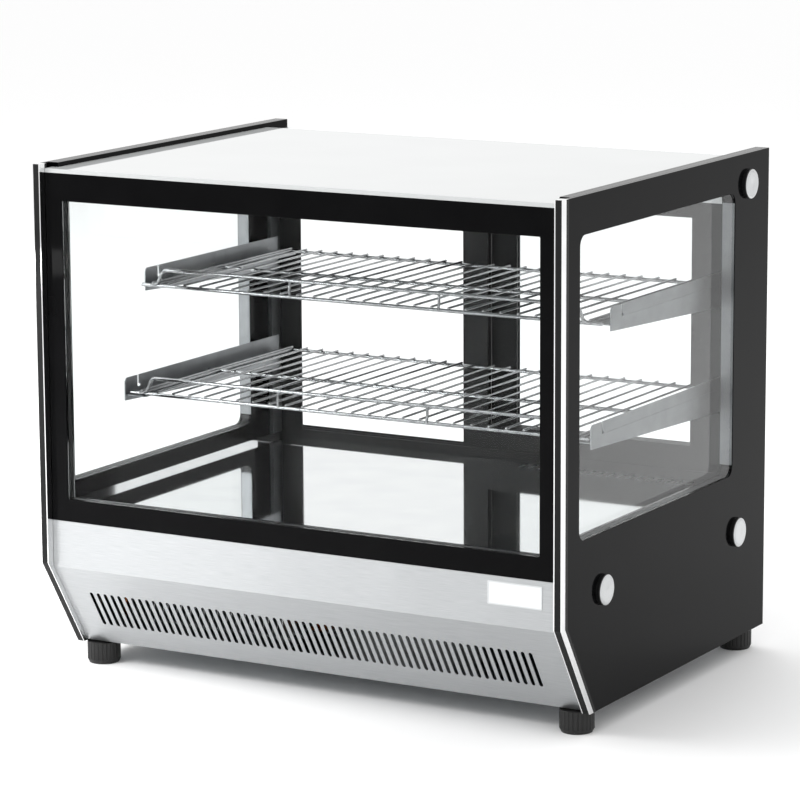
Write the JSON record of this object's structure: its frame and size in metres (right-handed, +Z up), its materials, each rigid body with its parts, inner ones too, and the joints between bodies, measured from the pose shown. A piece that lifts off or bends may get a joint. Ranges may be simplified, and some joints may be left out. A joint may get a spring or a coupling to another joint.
{
  "type": "refrigerated bakery display case",
  "caption": "Counter-top refrigerated glass display case with black-bordered glazing, wire shelves, stainless lower front with vent slots, rear sliding doors and levelling feet.",
  "frame": {"origin": "on the floor under the middle of the case's overall box", "axes": "+X along the front, to the right when facing the case, +Y from the front to the rear, +Z up"},
  "size_m": [0.792, 0.605, 0.688],
  "materials": {
    "stainless": "brushed, grain along X",
    "mirror_steel": "mirror polished",
    "galvanised": "galvanised sheet",
    "bracket_steel": "satin stainless",
    "chrome_wire": "bright plated wire",
    "polished_trim": "polished, anodised",
    "cap_metal": "turned face, satin",
    "black_cap": "black",
    "black_insert": "black strip",
    "clear_glass": "clear tempered",
    "black_border": "black behind glass",
    "white_glass": "white back-painted glass",
    "aluminium": "satin anodised",
    "lamp_lens": "opal diffuser",
    "black_track": "black extrusion",
    "door_frame": "black moulded",
    "door_pull": "satin",
    "foam": "white liner",
    "fins": "thin fins",
    "fan_plastic": "black moulded",
    "compressor_paint": "black enamel",
    "copper": "drawn copper tube",
    "fascia_paint": "black powder coat",
    "controller_plastic": "dark moulded",
    "key_rubber": "soft keys",
    "switch_plastic": "green translucent rocker",
    "gland_plastic": "black nylon",
    "screw_steel": "zinc plated",
    "badge_plate": "blank white plate",
    "foot_rubber": "black ribbed"
  },
  "bodies": {
    "case": {"front_panel": "stainless", "deck": "mirror_steel", "base_pan": "galvanised", "rear_panel": "galvanised", "drip_tray": "galvanised", "upper_left_bracket": "bracket_steel", "upper_right_bracket": "bracket_steel", "lower_left_bracket": "bracket_steel", "lower_right_bracket": "bracket_steel", "shelf_posts": "bracket_steel", "left_trim": "polished_trim", "right_trim": "polished_trim", "cap_discs": "cap_metal", "cap_bodies": "black_cap", "trim_inserts": "black_insert", "left_outer_glass": "clear_glass", "right_outer_glass": "clear_glass", "left_inner_glass": "clear_glass", "right_inner_glass": "clear_glass", "front_outer_glass": "clear_glass", "front_inner_glass": "clear_glass", "left_border": "black_border", "right_border": "black_border", "front_border": "black_border", "top_glass": "white_glass", "lamp_rail": "aluminium", "rear_top_rail": "aluminium", "led_lamp": "lamp_lens", "bottom_track": "black_track", "rear_jambs": "black_track", "insulation_tub": "foam", "evaporator": "fins", "condenser": "fins", "evaporator_fan_frame": "fan_plastic", "condenser_fan_frame": "fan_plastic", "compressor": "compressor_paint", "refrigerant_lines": "copper", "control_fascia": "fascia_paint", "temperature_controller": "controller_plastic", "power_gland": "gland_plastic", "rear_panel_screws": "screw_steel", "badge": "badge_plate"},
    "front_door": {"front_door_frame": "door_frame", "front_door_glass": "clear_glass", "front_door_pull": "door_pull"},
    "rear_door": {"rear_door_frame": "door_frame", "rear_door_glass": "clear_glass", "rear_door_pull": "door_pull"},
    "upper_shelf": {"upper_shelf": "chrome_wire"},
    "lower_shelf": {"lower_shelf": "chrome_wire"},
    "evaporator_fan": {"evaporator_fan_rotor": "fan_plastic"},
    "condenser_fan": {"condenser_fan_rotor": "fan_plastic"},
    "set_button": {"set_button": "key_rubber"},
    "up_button": {"up_button": "key_rubber"},
    "down_button": {"down_button": "key_rubber"},
    "light_switch": {"light_switch": "switch_plastic"},
    "foot_front_left": {"foot_front_left": "foot_rubber"},
    "foot_front_right": {"foot_front_right": "foot_rubber"},
    "foot_rear_left": {"foot_rear_left": "foot_rubber"},
    "foot_rear_right": {"foot_rear_right": "foot_rubber"}
  },
  "joints": [
    {"name": "front_door_slide", "type": "slide", "parent": "case", "child": "front_door", "axis": [1, 0, 0], "range_m": [-0.304, 0.039]},
    {"name": "rear_door_slide", "type": "slide", "parent": "case", "child": "rear_door", "axis": [1, 0, 0], "range_m": [-0.343, 0]},
    {"name": "upper_shelf_lift", "type": "slide", "parent": "case", "child": "upper_shelf", "axis": [0, 0, 1], "range_m": [0, 0.03]},
    {"name": "lower_shelf_lift", "type": "slide", "parent": "case", "child": "lower_shelf", "axis": [0, 0, 1], "range_m": [0, 0.03]},
    {"name": "evaporator_fan_spin", "type": "hinge", "parent": "case", "child": "evaporator_fan", "pos_m": [0.185, 0.0615, 0.158], "axis": [0, 1, 0], "continuous": true},
    {"name": "condenser_fan_spin", "type": "hinge", "parent": "case", "child": "condenser_fan", "pos_m": [-0.205, -0.1165, 0.118], "axis": [0, 1, 0], "continuous": true},
    {"name": "set_button_press", "type": "slide", "parent": "case", "child": "set_button", "axis": [0, -1, 0], "range_m": [0, 0.001], "stiffness_N_per_m": 400, "springref_m": -0.0005},
    {"name": "up_button_press", "type": "slide", "parent": "case", "child": "up_button", "axis": [0, -1, 0], "range_m": [0, 0.001], "stiffness_N_per_m": 400, "springref_m": -0.0005},
    {"name": "down_button_press", "type": "slide", "parent": "case", "child": "down_button", "axis": [0, -1, 0], "range_m": [0, 0.001], "stiffness_N_per_m": 400, "springref_m": -0.0005},
    {"name": "light_switch_rock", "type": "hinge", "parent": "case", "child": "light_switch", "pos_m": [0.25, 0.2897, 0.135], "axis": [1, 0, 0], "range_deg": [-18, 0]},
    {"name": "foot_front_left_turn", "type": "hinge", "parent": "case", "child": "foot_front_left", "pos_m": [-0.36, -0.2025, 0], "axis": [0, 0, 1], "continuous": true},
    {"name": "foot_front_right_turn", "type": "hinge", "parent": "case", "child": "foot_front_right", "pos_m": [0.36, -0.2025, 0], "axis": [0, 0, 1], "continuous": true},
    {"name": "foot_rear_left_turn", "type": "hinge", "parent": "case", "child": "foot_rear_left", "pos_m": [-0.36, 0.2745, 0], "axis": [0, 0, 1], "continuous": true},
    {"name": "foot_rear_right_turn", "type": "hinge", "parent": "case", "child": "foot_rear_right", "pos_m": [0.36, 0.2745, 0], "axis": [0, 0, 1], "continuous": true}
  ]
}
